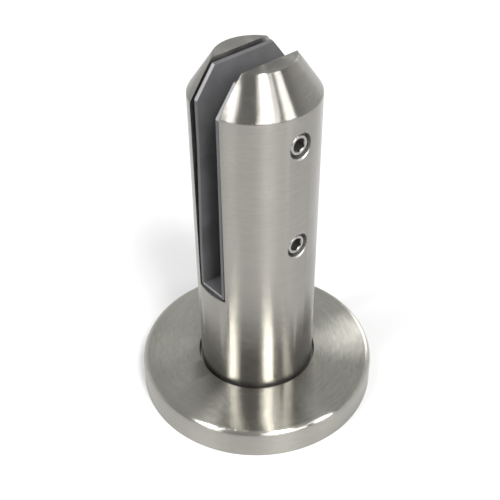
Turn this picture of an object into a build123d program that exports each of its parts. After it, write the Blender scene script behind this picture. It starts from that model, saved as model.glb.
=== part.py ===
from build123d import *
import math
import os

# A round glass railing spigot: a post on a bolted base plate, with a deep slot that clamps the
# lower edge of a glass panel, and a loose cover ring round its foot.
#
# Frame, in millimetres: the origin is on the floor at the centre of the base plate, +Z is up the
# post, the slot runs along X, and the two clamping screws go in from the -Y side.

# Post: turned bar with a coned top and a slot across its whole width
post_radius = 25.0
post_top = 158.0
cone_height = 14.0
cone_run = 9.75
shoulder_round = 1.5
top_edge_round = 0.3
slot_width = 16.0
slot_depth = 98.5

# Base plate under the post
plate_radius = 50.0
plate_thickness = 10.0
plate_edge_chamfer = 1.0
anchor_hole_count = 4
anchor_circle_radius = 38.0
anchor_hole_radius = 5.5
anchor_sink_radius = 10.0
anchor_first_angle = 45.0

# Countersunk socket screws that go up through the base plate and hold the post
base_screw_count = 4
base_screw_circle_radius = 15.0
base_screw_radius = 4.0
base_screw_head_radius = 8.0
base_screw_length = 25.0
base_screw_head_recess = 0.3
base_screw_tip_chamfer = 0.8
base_screw_hex = 5.0
base_screw_hex_depth = 3.2
base_screw_hole_clearance = 0.5
tapped_hole_spare_depth = 4.0

# Clamping screws: flat-pointed set screws with a hexagon socket, one above the other
set_screw_radius = 5.0
set_screw_sink = 1.2
set_screw_point_radius = 3.5
set_screw_rim_chamfer = 1.0
set_screw_hex = 5.0
set_screw_hex_depth = 5.0
upper_set_screw_drop = 26.5
set_screw_spacing = 45.0
set_screw_mouth_chamfer = 0.6
thread_clearance = 0.06

# Pressure plate that the clamping screws push, in a pocket in the slot's near wall
pressure_plate_width = 32.0
pressure_plate_height = 66.0
pressure_plate_thickness = 3.5
pressure_plate_corner = 5.0
pressure_plate_edge_chamfer = 0.4
pocket_clearance = 0.25

# Liner: one moulded channel, with a wall on each side of the glass and a floor under it
liner_wall = 1.5
liner_floor = 1.5
liner_floor_lift = 0.4
liner_near_gap_low = 0.7
liner_near_gap_high = 0.2
liner_far_gap_low = 1.0
liner_far_gap_high = 2.8
liner_bend_start = 18.0
liner_bend_end = 67.0
liner_bend_round = 300.0
liner_near_corner_round = 1.0
liner_far_corner_round = 2.0

# Liner's flat-cut ends and top: off centre along the slot, and lower on the screws' side
liner_end_inset = 1.3
liner_shift = -1.4
liner_shoulder_rise = 1.75
liner_top_inset = 1.5
liner_top_drop = 1.4
liner_cut_tilt = 14.0

# Cover ring: pressed sheet that stands on the floor, over the base plate and round the post
ring_sheet = 1.5
ring_side_taper = 0.3
ring_outer_round = 2.6
ring_post_clearance = 1.25
ring_plate_clearance = 0.5
ring_headroom = 1.7

# Places that follow from the sizes above
cone_start = post_top - cone_height
top_radius = post_radius - cone_run
slot_half = slot_width / 2
slot_floor = post_top - slot_depth
slot_half_length = math.sqrt(post_radius**2 - slot_half**2)
pocket_floor = -slot_half - pressure_plate_thickness
set_screw_heights = {
    "lower_set_screw": post_top - upper_set_screw_drop - set_screw_spacing,
    "upper_set_screw": post_top - upper_set_screw_drop,
}
pressure_plate_centre = post_top - upper_set_screw_drop - set_screw_spacing / 2
set_screw_length = post_radius - set_screw_sink + pocket_floor
set_screw_hole_radius = set_screw_radius + thread_clearance
ring_radius = plate_radius + ring_plate_clearance + ring_sheet
ring_height = plate_thickness + ring_headroom + ring_sheet


def turned(corners):
    """A solid turned about Z from its corners: (radius, height) or (radius, height, rounding)."""
    points = [corner[:2] for corner in corners]
    roundings = [corner[2] if len(corner) == 3 else 0 for corner in corners]
    outline = FilletPolyline(*points, radius=roundings, close=True)
    return revolve(Plane.XZ * make_face(outline), Axis.Z)


def upright_cylinder(radius, height):
    """A cylinder that stands on Z = 0."""
    return Cylinder(radius, height, align=(Align.CENTER, Align.CENTER, Align.MIN))


def upright_cone(bottom_radius, top_radius):
    """A 45 degree cone that stands on Z = 0."""
    height = abs(bottom_radius - top_radius)
    return Cone(bottom_radius, top_radius, height, align=(Align.CENTER, Align.CENTER, Align.MIN))


def hex_corner_radius(across_flats):
    """The radius of a hexagon's corners."""
    return across_flats / 2 / math.cos(math.pi / 6)


def hex_socket(across_flats, depth):
    """What is cut from a screw's end on Z = 0 for its key, with a small lead-in."""
    corner_radius = hex_corner_radius(across_flats)
    prism = extrude(RegularPolygon(corner_radius, 6), amount=depth)
    return prism + upright_cone(corner_radius, across_flats / 2)


def round_the_axis(radius, count, first_angle=0.0):
    """Places spaced evenly on a circle round the Z axis."""
    angles = [math.radians(first_angle + 360 * index / count) for index in range(count)]
    return [(radius * math.cos(angle), radius * math.sin(angle)) for angle in angles]


def across_slot(start, height):
    """A working plane at Y = start whose own Z axis points along +Y, across the slot."""
    return Plane(origin=(0, start, height), x_dir=(1, 0, 0), z_dir=(0, 1, 0))


def rounded_plate(width, height, thickness, corner):
    """A flat plate with rounded corners, from Y = 0 towards +Y."""
    return across_slot(0, 0) * extrude(RectangleRounded(width, height, corner), amount=thickness)


def make_spigot_body():
    """The post, with its slot, the pressure plate's pocket and the tapped holes."""
    body = turned(
        [
            (0, plate_thickness),
            (post_radius, plate_thickness),
            (post_radius, cone_start, shoulder_round),
            (top_radius, post_top, top_edge_round),
            (0, post_top),
        ]
    )
    slot = Box(
        4 * post_radius, slot_width, 2 * slot_depth, align=(Align.CENTER, Align.CENTER, Align.MIN)
    )
    body -= Pos(0, 0, slot_floor) * slot

    pocket = rounded_plate(
        pressure_plate_width + 2 * pocket_clearance,
        pressure_plate_height + 2 * pocket_clearance,
        pressure_plate_thickness + slot_half,
        pressure_plate_corner + pocket_clearance,
    )
    body -= Pos(0, pocket_floor, pressure_plate_centre) * pocket

    hole = upright_cylinder(set_screw_hole_radius, 2 * post_radius)
    mouth = upright_cone(set_screw_hole_radius + 2 * set_screw_mouth_chamfer, set_screw_hole_radius)
    for height in set_screw_heights.values():
        body -= across_slot(pocket_floor - 2 * post_radius, height) * hole
        body -= across_slot(-post_radius - set_screw_mouth_chamfer, height) * mouth

    reach = base_screw_head_recess + base_screw_length - plate_thickness
    tapped_hole = upright_cylinder(base_screw_radius + thread_clearance, reach + tapped_hole_spare_depth)
    for x, y in round_the_axis(base_screw_circle_radius, base_screw_count):
        body -= Pos(x, y, plate_thickness) * tapped_hole
    return body


def make_base_plate():
    """The round plate, countersunk above for anchor bolts and beneath for the post's screws."""
    rim = plate_radius - plate_edge_chamfer
    plate = turned(
        [
            (0, 0),
            (plate_radius, 0),
            (plate_radius, plate_thickness - plate_edge_chamfer),
            (rim, plate_thickness),
            (0, plate_thickness),
        ]
    )
    anchor_hole = upright_cylinder(anchor_hole_radius, plate_thickness)
    anchor_sink = upright_cone(anchor_hole_radius, anchor_sink_radius)
    sink_depth = anchor_sink_radius - anchor_hole_radius
    for x, y in round_the_axis(anchor_circle_radius, anchor_hole_count, anchor_first_angle):
        plate -= Pos(x, y, 0) * anchor_hole
        plate -= Pos(x, y, plate_thickness - sink_depth) * anchor_sink

    screw_hole = upright_cylinder(base_screw_radius + base_screw_hole_clearance, plate_thickness)
    screw_seat = upright_cone(base_screw_head_radius + base_screw_head_recess, base_screw_radius)
    for x, y in round_the_axis(base_screw_circle_radius, base_screw_count):
        plate -= Pos(x, y, 0) * screw_hole
        plate -= Pos(x, y, 0) * screw_seat
    return plate


def make_base_screw(x, y):
    """A countersunk socket screw that points up, its head just inside the plate's underside."""
    screw = turned(
        [
            (0, 0),
            (base_screw_head_radius, 0),
            (base_screw_radius, base_screw_head_radius - base_screw_radius),
            (base_screw_radius, base_screw_length - base_screw_tip_chamfer),
            (base_screw_radius - base_screw_tip_chamfer, base_screw_length),
            (0, base_screw_length),
        ]
    )
    screw -= hex_socket(base_screw_hex, base_screw_hex_depth)
    return Pos(x, y, base_screw_head_recess) * screw


def make_set_screw(height):
    """A set screw along Y, its flat point against the pressure plate's back."""
    point_chamfer = set_screw_radius - set_screw_point_radius
    screw = turned(
        [
            (0, 0),
            (set_screw_radius - set_screw_rim_chamfer, 0),
            (set_screw_radius, set_screw_rim_chamfer),
            (set_screw_radius, set_screw_length - point_chamfer),
            (set_screw_point_radius, set_screw_length),
            (0, set_screw_length),
        ]
    )
    screw -= hex_socket(set_screw_hex, set_screw_hex_depth)
    return across_slot(pocket_floor - set_screw_length, height) * screw


def make_pressure_plate():
    """The flat steel plate between the clamping screws and the liner."""
    plate = rounded_plate(
        pressure_plate_width, pressure_plate_height, pressure_plate_thickness, pressure_plate_corner
    )
    front = plate.faces().sort_by(Axis.Y)[-1]
    plate = chamfer(front.edges(), pressure_plate_edge_chamfer)
    return Pos(0, pocket_floor, pressure_plate_centre) * plate


def between_liner_cuts():
    """The block that the liner's flat cuts leave: its ends, sloping shoulders and top."""
    half_length = slot_half_length - liner_end_inset
    half_top = top_radius - liner_top_inset
    below = slot_floor - slot_width
    shoulder = cone_start + liner_shoulder_rise
    top = post_top - liner_top_drop
    outline = Polyline(
        (-half_length, below),
        (half_length, below),
        (half_length, shoulder),
        (half_top, top),
        (-half_top, top),
        (-half_length, shoulder),
        close=True,
    )
    block = extrude(Plane.XZ * make_face(outline), amount=2 * post_radius, both=True)
    tilted = Rot(liner_cut_tilt, 0, 0) * Pos(0, 0, -post_top) * block
    return Pos(liner_shift, 0, post_top) * tilted


def make_slot_liner():
    """The channel in the slot: a wall by the screws that leans out and a far wall that bends in."""
    underside = slot_floor + liner_floor_lift
    inside_floor = underside + liner_floor
    bend_start = slot_floor + liner_bend_start
    bend_end = slot_floor + liner_bend_end
    over_top = post_top + cone_height

    near_low = -slot_half + liner_near_gap_low
    near_high = -slot_half + liner_near_gap_high
    far_low = slot_half - liner_far_gap_low
    far_high = slot_half - liner_far_gap_high
    corners = [
        (near_low, underside, liner_near_corner_round),
        (far_low, underside, liner_far_corner_round),
        (far_low, bend_start, liner_bend_round),
        (far_high, bend_end, liner_bend_round),
        (far_high, over_top, 0),
        (far_high - liner_wall, over_top, 0),
        (far_high - liner_wall, bend_end, liner_bend_round),
        (far_low - liner_wall, bend_start, liner_bend_round),
        (far_low - liner_wall, inside_floor, 0),
        (near_low + liner_wall, inside_floor, 0),
        (near_high + liner_wall, bend_end, liner_bend_round),
        (near_high + liner_wall, over_top, 0),
        (near_high, over_top, 0),
        (near_high, bend_end, liner_bend_round),
    ]
    points = [corner[:2] for corner in corners]
    section = FilletPolyline(*points, radius=[corner[2] for corner in corners], close=True)
    channel = extrude(Plane.YZ * make_face(section), amount=2 * post_radius, both=True)
    return channel & between_liner_cuts()


def make_cover_ring():
    """The pressed ring: a flat top with a hole for the post, and a short side wall."""
    side_at_top = ring_radius - ring_side_taper
    hole_radius = post_radius + ring_post_clearance
    inside_top = ring_height - ring_sheet
    return turned(
        [
            (ring_radius - ring_sheet, 0),
            (ring_radius, 0),
            (side_at_top, ring_height, ring_outer_round),
            (hole_radius, ring_height),
            (hole_radius, inside_top),
            (side_at_top - ring_sheet, inside_top, ring_outer_round - ring_sheet),
        ]
    )


parts = {
    "spigot_body": make_spigot_body(),
    "base_plate": make_base_plate(),
    "pressure_plate": make_pressure_plate(),
    "slot_liner": make_slot_liner(),
    "cover_ring": make_cover_ring(),
}
for name, height in set_screw_heights.items():
    parts[name] = make_set_screw(height)
for number, (x, y) in enumerate(round_the_axis(base_screw_circle_radius, base_screw_count), 1):
    parts[f"base_screw_{number}"] = make_base_screw(x, y)

os.makedirs("parts", exist_ok=True)
for node, shape in parts.items():
    export_step(shape, f"parts/{node}.step")
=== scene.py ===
import math

import bmesh
import bpy
from mathutils import Matrix, Vector


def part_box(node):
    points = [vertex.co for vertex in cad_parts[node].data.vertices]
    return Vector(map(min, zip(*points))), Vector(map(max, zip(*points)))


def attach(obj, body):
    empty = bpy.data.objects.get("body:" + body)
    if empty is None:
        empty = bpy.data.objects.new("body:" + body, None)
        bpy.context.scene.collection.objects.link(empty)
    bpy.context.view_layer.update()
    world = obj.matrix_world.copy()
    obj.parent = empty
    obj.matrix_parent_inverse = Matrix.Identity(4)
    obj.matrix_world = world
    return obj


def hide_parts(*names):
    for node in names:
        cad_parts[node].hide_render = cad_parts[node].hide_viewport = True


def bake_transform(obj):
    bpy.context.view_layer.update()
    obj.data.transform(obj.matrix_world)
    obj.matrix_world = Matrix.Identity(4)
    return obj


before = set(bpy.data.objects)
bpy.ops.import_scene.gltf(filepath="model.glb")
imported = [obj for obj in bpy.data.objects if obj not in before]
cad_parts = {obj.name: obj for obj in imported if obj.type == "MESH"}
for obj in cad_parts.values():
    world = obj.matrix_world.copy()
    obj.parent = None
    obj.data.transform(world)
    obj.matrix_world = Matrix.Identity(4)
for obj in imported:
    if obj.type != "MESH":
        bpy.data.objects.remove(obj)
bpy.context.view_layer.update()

# The looks of a round glass railing spigot: brushed steel, real threads, moulded rubber, a white
# table and soft light. Lengths are in metres, and angles in degrees unless they say otherwise.

# Sizes that repeat the part's own
cone_height = 0.014
cone_run = 0.00975
set_screw_hex = 0.005
set_screw_hex_depth = 0.005
base_screw_count = 4
base_screw_radius = 0.004
base_screw_hex = 0.005
base_screw_hex_depth = 0.0032

# Broken edges, and the limits used in cleaning the meshes
edge_break = 0.0002
liner_edge_round = 0.00025
sharp_edge_angle = math.radians(25)
flat_enough_angle = math.radians(0.2)
same_point = 1e-6

# The post's faces are told apart by their depth under its turned surface and by their direction
skin_depth = 0.00015
mouth_depth = 0.0006
top_depth = 0.0004
outward_enough = 0.3
upward_enough = 0.2

# The liner is cut into strips each way, and its cut shoulders, paler with a painted highlight, are told
# by their slant
liner_strips = 14
slanted_enough = 0.3

# Threads of the clamping screws (M10) and of the base screws (M8), and their sockets. A groove's half
# width is a share of the pitch, and its overcut flanks leave a flat root.
set_screw_pitch = 0.0015
set_screw_rim_taper = 0.0013
set_screw_point_taper = 0.0015
base_screw_pitch = 0.00125
base_screw_tip_taper = 0.0008
base_screw_plain_neck = 0.0002
base_screw_rim_break = 0.0003
thread_depth_per_pitch = 0.61
groove_half_width = 0.42
groove_overcut = 1.12
thread_rows_per_pitch = 10
screw_columns = 72
socket_drill_share = 0.98
socket_drill_angle = 30

# Camera, found by fitting the outlines of the post, slot, screws and ring in the photograph. Its axis
# meets the photograph at the axis pixel.
photo_width = 500
photo_height = 500
camera_target = Vector((0, 0, 0.060))
camera_azimuth = -41.057
camera_elevation = 40.071
camera_roll = -0.381
camera_distance = 0.36692
focal_pixels = 866.12
axis_pixel_x = 256.19
axis_pixel_y = 267.47
sensor_width = 36.0

# Soft boxes round the object. Each fills a span of azimuth, to the right of the camera's own, and
# a span of height above the floor.
light_distance = 2.5
soft_boxes = {
    "left_box": {"azimuth": (-46, -33), "elevation": (24, 41), "radiance": 4.5},
    "middle_box": {"azimuth": (5, 45), "elevation": (24, 42), "radiance": 5.0},
    "right_box": {"azimuth": (52, 70), "elevation": (20, 36), "radiance": 7.0},
    "left_strip": {"azimuth": (-71, -51), "elevation": (50, 66), "radiance": 34.0},
    "middle_strip": {"azimuth": (16, 37), "elevation": (46, 62), "radiance": 38.0},
    "right_strip": {"azimuth": (63, 81), "elevation": (45, 60), "radiance": 6.0},
    "back_box": {"azimuth": (138, 156), "elevation": (15, 36), "radiance": 4.5},
}

# The world: its radiance below and above a change of height, and a darker patch centred on the
# camera's side. The patch's low and high edges are blurred by an amount in sines of height.
low_radiance = 0.80
high_radiance = 0.45
radiance_change = (30, 46)
dark_radiance = 0.27
dark_half_width = 90
dark_side_blur = 25
dark_elevation = (15, 42)
dark_low_blur = 0.1
dark_high_blur = 0.03

# Colours, as linear red, green and blue
post_colour = (0.288, 0.277, 0.254)
# The ring's colour is paler than the post's, a painted highlight on its level top; its upright sides
# are darkened again as painted shade
ring_painted_light_colour = (0.46, 0.45, 0.405)
milled_colour = (0.32, 0.312, 0.303)
plate_colour = (0.46, 0.45, 0.43)
mouth_colour = (0.44, 0.432, 0.415)
screw_colour = (0.36, 0.353, 0.342)
# The socket's steel is darker than the screw's: painted shade inside the deep socket
socket_painted_shade_colour = (0.28, 0.275, 0.262)
rubber_colour = (0.076, 0.076, 0.079)
# The liner's upward slanted cut shoulders are paler: partly the cut rubber's own colour, partly a
# painted highlight on faces that look up
cut_rubber_highlight_colour = (0.24, 0.24, 0.245)
floor_colour = (0.67, 0.67, 0.67)

# A noise lies mostly near its middle, so only a span of it is stretched over a whole change
wide_span = (0.2, 0.8)
middle_span = (0.25, 0.75)
narrow_span = (0.3, 0.7)
dust_span = (0.3, 0.75)

# A surface counts as upright below this span of its normal's height, and as level above it, for the
# painted shade on upright sides
level_span = (0.2, 0.8)

# Brush lines, by their waves in a metre along and across them, and how far the broad ones tilt
fine_brush_waves = (350, 3000)
broad_brush_waves = (90, 1100)
brush_wobble = 0.002

# Table top
floor_half = 3.0
floor_drop = 0.00005


def sine(angle):
    """The sine of an angle in degrees."""
    return math.sin(math.radians(angle))


def cosine(angle):
    """The cosine of an angle in degrees."""
    return math.cos(math.radians(angle))


def toward(azimuth, elevation):
    """A direction, by its azimuth to the right of the camera's own and its height above the floor."""
    back = Vector((sine(camera_azimuth), -cosine(camera_azimuth), 0))
    right = Vector((cosine(camera_azimuth), sine(camera_azimuth), 0))
    level = back * cosine(azimuth) + right * sine(azimuth)
    return level * cosine(elevation) + Vector((0, 0, sine(elevation)))


def add_camera():
    """The camera at the photograph's place, turned about its axis by the photograph's slight tilt."""
    data = bpy.data.cameras.new("camera")
    data.sensor_fit = "HORIZONTAL"
    data.sensor_width = sensor_width
    data.lens = focal_pixels * sensor_width / photo_width
    data.shift_x = (photo_width / 2 - axis_pixel_x) / photo_width
    data.shift_y = (axis_pixel_y - photo_height / 2) / photo_width
    camera = bpy.data.objects.new("camera", data)
    bpy.context.scene.collection.objects.link(camera)
    outward = toward(0, camera_elevation)
    place = Matrix.Translation(camera_target + outward * camera_distance)
    turn = outward.to_track_quat("Z", "Y").to_matrix().to_4x4()
    roll = Matrix.Rotation(math.radians(camera_roll), 4, "Z")
    camera.matrix_world = place @ turn @ roll
    bpy.context.scene.camera = camera


def width_of_span(span):
    """The width of a flat lamp that fills a span of angles at the lamps' distance."""
    return 2 * light_distance * math.tan(math.radians(span[1] - span[0]) / 2)


def add_soft_box(name, azimuth, elevation, radiance):
    """A rectangular lamp that fills the given span of directions and faces the object."""
    middle_elevation = sum(elevation) / 2
    outward = toward(sum(azimuth) / 2, middle_elevation)
    data = bpy.data.lights.new(name, "AREA")
    data.shape = "RECTANGLE"
    data.size = width_of_span(azimuth) * cosine(middle_elevation)
    data.size_y = width_of_span(elevation)
    data.energy = math.pi * radiance * data.size * data.size_y
    lamp = bpy.data.objects.new(name, data)
    bpy.context.scene.collection.objects.link(lamp)
    lamp.location = camera_target + outward * light_distance
    lamp.rotation_euler = outward.to_track_quat("Z", "Y").to_euler()
    lamp.visible_camera = False


def node(tree, kind, inputs=None, **settings):
    """A shader node with its settings, and with each input given as a value or as an output socket."""
    made = tree.nodes.new(kind)
    for key, value in settings.items():
        setattr(made, key, value)
    for key, value in (inputs or {}).items():
        if isinstance(value, bpy.types.NodeSocket):
            tree.links.new(value, made.inputs[key])
        else:
            made.inputs[key].default_value = value
    return made


def maths(tree, operation, first, second=0.0):
    """One operation on two values or sockets."""
    return node(tree, "ShaderNodeMath", {0: first, 1: second}, operation=operation).outputs[0]


def vector_maths(tree, operation, inputs, output="Vector"):
    """One operation on vectors, with its inputs given as for a node."""
    return node(tree, "ShaderNodeVectorMath", inputs, operation=operation).outputs[output]


def total(tree, first, *others):
    """The sum of several values or sockets."""
    for other in others:
        first = maths(tree, "ADD", first, other)
    return first


def separate(tree, vector):
    """The X, Y and Z of a vector."""
    return list(node(tree, "ShaderNodeSeparateXYZ", {0: vector}).outputs)


def combine(tree, x, y, z=0.0):
    """A vector from its X, Y and Z."""
    return node(tree, "ShaderNodeCombineXYZ", {0: x, 1: y, 2: z}).outputs[0]


def ramp(tree, value, span, low=0.0, high=1.0):
    """Value taken smoothly from low to high as it goes through a span."""
    inputs = {"Value": value, "From Min": span[0], "From Max": span[1], "To Min": low, "To Max": high}
    return node(tree, "ShaderNodeMapRange", inputs, interpolation_type="SMOOTHSTEP").outputs["Result"]


def swing(tree, value, span, amount):
    """A noise stretched to go from the amount below zero to the amount above it."""
    return ramp(tree, value, span, -amount, amount)


def noise(tree, vector, waves, detail, roughness=0.5):
    """A noise of the given number of waves per unit of the vector, from 0 to 1."""
    inputs = {"Vector": vector, "Scale": waves, "Detail": detail, "Roughness": roughness}
    return node(tree, "ShaderNodeTexNoise", inputs).outputs[0]


def add_surround():
    """A plain pale world, paler low down, with a darker patch on the camera's side."""
    world = bpy.data.worlds.new("surround")
    world.use_nodes = True
    bpy.context.scene.world = world
    tree = world.node_tree
    outward = node(tree, "ShaderNodeTexCoord").outputs["Generated"]
    height = separate(tree, outward)[2]
    level = vector_maths(tree, "MULTIPLY", {0: outward, 1: (1, 1, 0)})
    level = vector_maths(tree, "NORMALIZE", {0: level})
    facing = vector_maths(tree, "DOT_PRODUCT", {0: level, 1: toward(0, 0)}, "Value")

    widest = cosine(dark_half_width + dark_side_blur)
    narrowest = cosine(dark_half_width - dark_side_blur)
    in_width = ramp(tree, facing, (widest, narrowest))
    low, high = [sine(angle) for angle in dark_elevation]
    over_low = ramp(tree, height, (low - dark_low_blur, low + dark_low_blur))
    under_high = ramp(tree, height, (high + dark_high_blur, high - dark_high_blur))
    in_height = maths(tree, "MULTIPLY", over_low, under_high)
    darkness = maths(tree, "MULTIPLY", in_width, in_height)

    change = [sine(angle) for angle in radiance_change]
    pale = ramp(tree, height, change, low_radiance, high_radiance)
    lost = maths(tree, "MULTIPLY", darkness, maths(tree, "SUBTRACT", pale, dark_radiance))
    background = tree.nodes["Background"]
    background.inputs["Color"].default_value = (1, 1, 1, 1)
    tree.links.new(maths(tree, "SUBTRACT", pale, lost), background.inputs["Strength"])


def new_material(name, colour, metallic, roughness):
    """A material, its tree and its Principled shader, with plain values to begin with."""
    material = bpy.data.materials.new(name)
    material.use_nodes = True
    shader = material.node_tree.nodes["Principled BSDF"]
    shader.inputs["Base Color"].default_value = (*colour, 1)
    shader.inputs["Metallic"].default_value = metallic
    shader.inputs["Roughness"].default_value = roughness
    return material, material.node_tree, shader


def feed(tree, shader, colour, tone, roughness, normal):
    """The shader's colour times a tone near 1, its roughness and its normal, all from sockets."""
    toned = vector_maths(tree, "SCALE", {0: colour, "Scale": tone})
    tree.links.new(toned, shader.inputs["Base Color"])
    tree.links.new(roughness, shader.inputs["Roughness"])
    tree.links.new(normal, shader.inputs["Normal"])


def object_place(tree):
    """The point on the object, in metres, which is also its place in the part's own frame."""
    return node(tree, "ShaderNodeTexCoord").outputs["Object"]


def surface_normal(tree):
    """The surface's own normal."""
    return node(tree, "ShaderNodeNewGeometry").outputs["Normal"]


def round_brushing(tree, place):
    """The radius, and a length across a turned piece's brush lines that grows upward and inward."""
    level = vector_maths(tree, "MULTIPLY", {0: place, 1: (1, 1, 0)})
    radius = vector_maths(tree, "LENGTH", {0: level}, "Value")
    height = separate(tree, place)[2]
    return radius, maths(tree, "SUBTRACT", height, radius)


def brush_lines(tree, place, across, waves):
    """Lines that run round the Z axis, as a noise from 0 to 1, by their waves along and across them."""
    along_waves, across_waves = waves
    x, y, _ = separate(tree, vector_maths(tree, "SCALE", {0: place, "Scale": along_waves}))
    waving = combine(tree, x, y, maths(tree, "MULTIPLY", across, across_waves))
    return noise(tree, waving, 1.0, detail=2.0)


def tilted_normal(tree, place, radius, amount):
    """The surface's normal, tilted round the Z axis by a small signed amount."""
    least_radius = 0.001
    x, y, _ = separate(tree, place)
    round_way = combine(tree, maths(tree, "MULTIPLY", y, -1.0), x)
    per_metre = maths(tree, "DIVIDE", amount, maths(tree, "MAXIMUM", radius, least_radius))
    tilt = vector_maths(tree, "SCALE", {0: round_way, "Scale": per_metre})
    tilted = vector_maths(tree, "ADD", {0: surface_normal(tree), 1: tilt})
    return vector_maths(tree, "NORMALIZE", {0: tilted})


def bumped(tree, height, strength, distance, normal=None):
    """The given normal, or else the surface's own, under a bump that is distance metres high."""
    inputs = {"Height": height, "Strength": strength, "Distance": distance}
    if normal is not None:
        inputs["Normal"] = normal
    return node(tree, "ShaderNodeBump", inputs).outputs[0]


def brushed_steel(name, colour, roughness, anisotropy, fine_tone, broad_tone, grain, painted_side_shade=1.0):
    """Stainless steel brushed in circles round the Z axis, with faint clouds where hands have been.

    fine_tone and broad_tone are how much its two sizes of brush lines lighten and darken it, grain
    is how strongly the fine ones stand out, and painted_side_shade darkens its upright sides as painted
    shade, so that its level top reads lighter."""
    cloud_waves = 45
    cloud_tone = 0.025
    rough_swing = 0.02
    grain_depth = 0.00002
    quarter_turn = 0.25
    material, tree, shader = new_material(name, colour, 1.0, roughness)
    place = object_place(tree)
    radius, across = round_brushing(tree, place)
    fine = brush_lines(tree, place, across, fine_brush_waves)
    broad = brush_lines(tree, place, across, broad_brush_waves)
    clouds = noise(tree, place, cloud_waves, detail=3.0, roughness=0.55)

    tone = total(
        tree,
        1.0,
        swing(tree, fine, middle_span, fine_tone),
        swing(tree, broad, middle_span, broad_tone),
        swing(tree, clouds, narrow_span, cloud_tone),
    )
    upward = maths(tree, "ABSOLUTE", separate(tree, surface_normal(tree))[2])
    # Painted shade: the upright sides are darkened so that the level top reads lighter
    tone = maths(tree, "MULTIPLY", tone, ramp(tree, upward, level_span, painted_side_shade, 1.0))
    rough = total(
        tree,
        roughness,
        swing(tree, fine, wide_span, rough_swing),
        swing(tree, clouds, narrow_span, rough_swing),
    )
    tilted = tilted_normal(tree, place, radius, swing(tree, broad, wide_span, brush_wobble))
    normal = bumped(tree, fine, strength=grain, distance=grain_depth, normal=tilted)
    feed(tree, shader, colour, tone, rough, normal)

    shader.inputs["Anisotropic"].default_value = anisotropy
    shader.inputs["Anisotropic Rotation"].default_value = quarter_turn
    tangent = node(tree, "ShaderNodeTangent", direction_type="RADIAL", axis="Z")
    tree.links.new(tangent.outputs[0], shader.inputs["Tangent"])
    return material


def machined_steel(name, colour, roughness, waves):
    """Steel as it comes from the mill, with a faint mottle and straight cutter marks along X.

    waves is how many marks there are in a metre, and they are stretched to many times their width."""
    mark_stretch = 60
    mark_tones = (0.85, 1.1)
    mark_depth = 0.00003
    mottle_waves = 120
    rough_swing = 0.06
    material, tree, shader = new_material(name, colour, 1.0, roughness)
    place = object_place(tree)
    across = vector_maths(tree, "MULTIPLY", {0: place, 1: (waves / mark_stretch, waves, waves)})
    marks = noise(tree, across, 1.0, detail=3.0)
    mottle = noise(tree, place, mottle_waves, detail=4.0)
    tone = ramp(tree, marks, wide_span, *mark_tones)
    rough = total(tree, roughness, swing(tree, mottle, narrow_span, rough_swing))
    normal = bumped(tree, marks, strength=0.3, distance=mark_depth)
    feed(tree, shader, colour, tone, rough, normal)
    return material


def bright_steel(name, colour, roughness):
    """Bright steel, as on small screws, with faint handling marks."""
    mark_waves = 900
    mark_tones = (0.93, 1.04)
    mark_roughness = (-0.05, 0.07)
    mark_depth = 0.00002
    material, tree, shader = new_material(name, colour, 1.0, roughness)
    marks = noise(tree, object_place(tree), mark_waves, detail=4.0)
    tone = ramp(tree, marks, narrow_span, *mark_tones)
    rough = total(tree, roughness, ramp(tree, marks, narrow_span, *mark_roughness))
    normal = bumped(tree, marks, strength=0.15, distance=mark_depth)
    feed(tree, shader, colour, tone, rough, normal)
    return material


def moulded_rubber(name, colour, roughness):
    """Dark rubber with the fine grain of its mould and faint dusty patches."""
    grain_waves = 5000
    grain_depth = 0.00004
    dust_waves = 90
    dust_tones = (0.88, 1.15)
    rough_swing = 0.06
    material, tree, shader = new_material(name, colour, 0.0, roughness)
    place = object_place(tree)
    grain = noise(tree, place, grain_waves, detail=2.0)
    dust = noise(tree, place, dust_waves, detail=4.0, roughness=0.6)
    tone = ramp(tree, dust, dust_span, *dust_tones)
    rough = total(tree, roughness, swing(tree, dust, narrow_span, rough_swing))
    normal = bumped(tree, grain, strength=0.35, distance=grain_depth)
    feed(tree, shader, colour, tone, rough, normal)
    return material


def white_floor(name):
    """A satin white table top, a little uneven in its gloss."""
    grain_waves = 400
    roughness = 0.35
    rough_swing = 0.03
    material, tree, shader = new_material(name, floor_colour, 0.0, roughness)
    grain = noise(tree, object_place(tree), grain_waves, detail=3.0)
    rough = total(tree, roughness, swing(tree, grain, narrow_span, rough_swing))
    tree.links.new(rough, shader.inputs["Roughness"])
    return material


def new_piece(name, work, materials):
    """A scene object from a bmesh, with smooth faces that break at its sharp edges."""
    mesh = bpy.data.meshes.new(name)
    bmesh.ops.recalc_face_normals(work, faces=work.faces)
    work.to_mesh(mesh)
    work.free()
    for material in materials:
        mesh.materials.append(material)
    mesh.polygons.foreach_set("use_smooth", [True] * len(mesh.polygons))
    mesh.set_sharp_from_angle(angle=sharp_edge_angle)
    piece = bpy.data.objects.new(name, mesh)
    bpy.context.scene.collection.objects.link(piece)
    return piece


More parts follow.
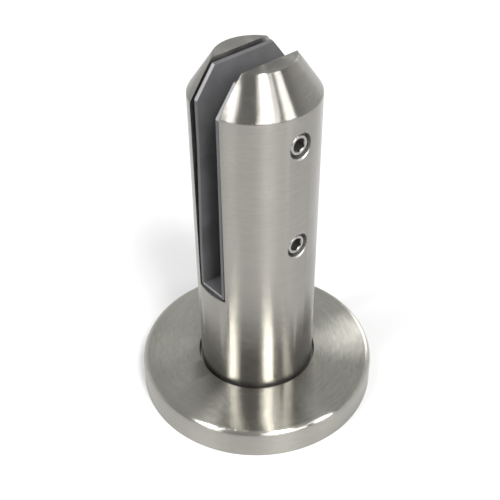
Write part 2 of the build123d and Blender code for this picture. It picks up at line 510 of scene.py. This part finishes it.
def dressed_copy(source, name, width, materials, cuts=(), choose=None):
    """A copy of a CAD node with its flat faces made whole and its sharp edges broken.

    cuts are planes, each a point and a normal, that give the copy more vertices.
    choose says, for a face, which of the materials it takes."""
    work = bmesh.new()
    work.from_mesh(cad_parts[source].data)
    bmesh.ops.remove_doubles(work, verts=work.verts, dist=same_point)
    bmesh.ops.dissolve_limit(work, angle_limit=flat_enough_angle, verts=work.verts, edges=work.edges)
    sharp = [edge for edge in work.edges if edge.calc_face_angle(0) > sharp_edge_angle]
    bmesh.ops.bevel(
        work,
        geom=sharp,
        offset=width,
        offset_type="OFFSET",
        segments=2,
        profile=0.5,
        affect="EDGES",
        clamp_overlap=True,
    )
    for point, normal in cuts:
        everything = work.verts[:] + work.edges[:] + work.faces[:]
        bmesh.ops.bisect_plane(work, geom=everything, plane_co=point, plane_no=normal)
    if choose:
        for face in work.faces:
            face.material_index = choose(face)
    return new_piece(name, work, materials)


def hexagon_radius(angle, across_flats):
    """The distance from a hexagon's centre to its outline, in the direction of an angle in radians."""
    within = (angle + math.pi / 6) % (math.pi / 3) - math.pi / 6
    return across_flats / 2 / math.cos(within)


def lofted(loops):
    """A closed skin round the Z axis from loops that give (radius, height) for each angle.

    The first and last loops are drawn in to a point on the axis."""
    work = bmesh.new()
    angles = [2 * math.pi * column / screw_columns for column in range(screw_columns)]
    rows = []
    for loop in loops:
        row = []
        for angle in angles:
            radius, height = loop(angle)
            row.append(work.verts.new((radius * math.cos(angle), radius * math.sin(angle), height)))
        rows.append(row)
    for lower, upper in zip(rows, rows[1:]):
        for column in range(screw_columns):
            after = (column + 1) % screw_columns
            work.faces.new((lower[column], lower[after], upper[after], upper[column]))
    bmesh.ops.remove_doubles(work, verts=work.verts, dist=same_point / 2)
    bmesh.ops.dissolve_degenerate(work, edges=work.edges, dist=same_point / 2)
    return work


def thread_radius(height, angle, pitch, crest):
    """The radius of a right-hand thread with flat crests and narrow flat roots."""
    phase = (height / pitch - angle / (2 * math.pi)) % 1.0
    depth = pitch * thread_depth_per_pitch
    into_groove = max(0.0, 1.0 - abs(phase - 0.5) / groove_half_width)
    return crest - depth * min(1.0, groove_overcut * into_groove)


def socket_loops(across_flats, depth):
    """Loops of a hexagon socket that opens at height 0: its drilled bottom, walls and small lead-in."""

    def wall(angle):
        return hexagon_radius(angle, across_flats)

    corner = wall(math.pi / 6)
    drill_depth = across_flats / 2 * math.tan(math.radians(socket_drill_angle))
    return [
        lambda angle: (0.0, depth + drill_depth),
        lambda angle: (across_flats / 2 * socket_drill_share, depth),
        lambda angle: (wall(angle), depth),
        lambda angle: (wall(angle), corner - wall(angle)),
        lambda angle: (corner, 0.0),
    ]


def thread_loops(start, end, pitch, crest, start_radius, end_radius):
    """Loops of a thread between two heights, drawn in at 45 degrees to a given radius at each end."""
    rows = round((end - start) / pitch * thread_rows_per_pitch)
    loops = []
    for row in range(rows + 1):
        height = start + (end - start) * row / rows
        limit = min(crest, start_radius + height - start, end_radius + end - height)
        loops.append(
            lambda angle, height=height, limit=limit: (
                min(limit, thread_radius(height, angle, pitch, crest)),
                height,
            )
        )
    return loops


def mark_socket(work, across_flats, depth):
    """The faces inside the socket take the screw's second finish, a darker steel that is painted shade
    for the deep socket.
    """
    corner = hexagon_radius(math.pi / 6, across_flats)
    for face in work.faces:
        middle = face.calc_center_median()
        if middle.z < depth + across_flats and math.hypot(middle.x, middle.y) < corner:
            face.material_index = 1


def settle(piece, source, body):
    """The piece stands for its CAD node, which is hidden, and rides on the body if one is given."""
    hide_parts(source)
    if body:
        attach(piece, body)


def add_plain_piece(name, source, body, finish):
    """A piece with its CAD node's own shape and one finish."""
    settle(dressed_copy(source, name, edge_break, [finish]), source, body)


def add_post():
    """The post, brushed outside and as milled in its slot, pocket and holes."""
    _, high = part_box("spigot_body")
    cone_foot = high.z - cone_height
    cone_slope = cone_run / cone_height

    def outside_inside_or_mouth(face):
        middle = face.calc_center_median()
        if middle.z > high.z - top_depth and face.normal.z > upward_enough:
            return 0
        surface = high.x - max(0.0, middle.z - cone_foot) * cone_slope
        depth = abs(math.hypot(middle.x, middle.y) - surface)
        if depth >= mouth_depth or face.normal.x**2 + face.normal.y**2 <= outward_enough:
            return 1
        return 0 if depth < skin_depth else 2

    finishes = [post_finish, milled_finish, mouth_finish]
    post = dressed_copy("spigot_body", "post", edge_break, finishes, choose=outside_inside_or_mouth)
    settle(post, "spigot_body", "root")


def strip_edges(start, end):
    """The places between the equal strips that the liner is cut into."""
    return [start + (end - start) * index / liner_strips for index in range(1, liner_strips)]


def add_liner():
    """The moulded channel, cut into strips each way, with its place baked into its mesh."""
    low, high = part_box("slot_liner")

    def moulded_or_highlit_cut(face):
        # Faces slanting up and sideways take the paler cut rubber, part cut finish and part painted
        # highlight
        return 1 if face.normal.z > slanted_enough and abs(face.normal.x) > slanted_enough else 0

    cuts = [((0, y, 0), (0, 1, 0)) for y in strip_edges(low.y, high.y)]
    cuts += [((0, 0, z), (0, 0, 1)) for z in strip_edges(low.z, high.z)]
    finishes = [rubber_finish, cut_rubber_highlight_finish]
    liner = dressed_copy("slot_liner", "liner", liner_edge_round, finishes, cuts, choose=moulded_or_highlit_cut)
    settle(liner, "slot_liner", None)
    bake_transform(liner)


def add_set_screw(source, body):
    """A threaded set screw with a chamfered, socketed end and a flat point."""
    low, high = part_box(source)
    length = high.y - low.y
    radius = (high.z - low.z) / 2
    rim_radius = radius - set_screw_rim_taper
    point_radius = radius - set_screw_point_taper
    loops = socket_loops(set_screw_hex, set_screw_hex_depth)
    loops += thread_loops(0.0, length, set_screw_pitch, radius, rim_radius, point_radius)
    loops.append(lambda angle: (0.0, length))
    work = lofted(loops)
    mark_socket(work, set_screw_hex, set_screw_hex_depth)
    turn = Matrix.Rotation(math.radians(-90), 4, "X")
    work.transform(Matrix.Translation((0, low.y, (low.z + high.z) / 2)) @ turn)
    screw = new_piece(source.replace("_set_", "_clamping_"), work, [screw_finish, socket_painted_shade_finish])
    settle(screw, source, body)


def add_base_screw(source):
    """A countersunk socket screw, threaded along its shank."""
    low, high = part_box(source)
    length = high.z - low.z
    head = (high.x - low.x) / 2
    shank = base_screw_radius
    tip_radius = shank - base_screw_tip_taper
    thread_start = head - shank + base_screw_plain_neck
    loops = socket_loops(base_screw_hex, base_screw_hex_depth)
    loops.append(lambda angle: (head - base_screw_rim_break, 0.0))
    loops.append(lambda angle: (head, base_screw_rim_break))
    loops += thread_loops(thread_start, length, base_screw_pitch, shank, shank, tip_radius)
    loops.append(lambda angle: (0.0, length))
    work = lofted(loops)
    mark_socket(work, base_screw_hex, base_screw_hex_depth)
    work.transform(Matrix.Translation(((low.x + high.x) / 2, (low.y + high.y) / 2, low.z)))
    screw = new_piece(source.replace("base_", "foot_"), work, [screw_finish, socket_painted_shade_finish])
    settle(screw, source, "root")


def add_floor():
    """A wide white table top just under the part."""
    work = bmesh.new()
    bmesh.ops.create_grid(work, x_segments=4, y_segments=4, size=floor_half)
    work.transform(Matrix.Translation((0, 0, -floor_drop)))
    floor = new_piece("floor", work, [white_floor("white_floor")])


post_finish = brushed_steel(
    "brushed_post_steel",
    post_colour,
    roughness=0.24,
    anisotropy=0.97,
    fine_tone=0.06,
    broad_tone=0.035,
    grain=0.10,
)
ring_finish = brushed_steel(
    "brushed_ring_steel",
    ring_painted_light_colour,
    roughness=0.22,
    anisotropy=1.0,
    fine_tone=0.07,
    broad_tone=0.036,
    grain=0.04,
    painted_side_shade=0.68,
)
milled_finish = machined_steel("milled_slot_steel", milled_colour, roughness=0.42, waves=1800)
plate_finish = machined_steel("machined_plate_steel", plate_colour, roughness=0.40, waves=1500)
mouth_finish = bright_steel("turned_mouth_steel", mouth_colour, roughness=0.45)
screw_finish = bright_steel("bright_screw_steel", screw_colour, roughness=0.22)
# Darker steel inside the sockets, as painted shade
socket_painted_shade_finish = bright_steel("socket_painted_shade_steel", socket_painted_shade_colour, roughness=0.35)
rubber_finish = moulded_rubber("liner_rubber", rubber_colour, roughness=0.6)
cut_rubber_highlight_finish = moulded_rubber("liner_cut_rubber_painted_highlight", cut_rubber_highlight_colour, roughness=0.42)

add_post()
add_liner()
add_plain_piece("foot_ring", "cover_ring", "ring", ring_finish)
add_plain_piece("floor_plate", "base_plate", "root", plate_finish)
add_plain_piece("push_plate", "pressure_plate", "clamp_plate", plate_finish)
add_set_screw("upper_set_screw", "upper_screw")
add_set_screw("lower_set_screw", "lower_screw")
for number in range(1, base_screw_count + 1):
    add_base_screw(f"base_screw_{number}")

add_floor()
add_camera()
add_surround()
for name, box in soft_boxes.items():
    add_soft_box(name, **box)
bpy.context.scene.view_settings.view_transform = "Standard"
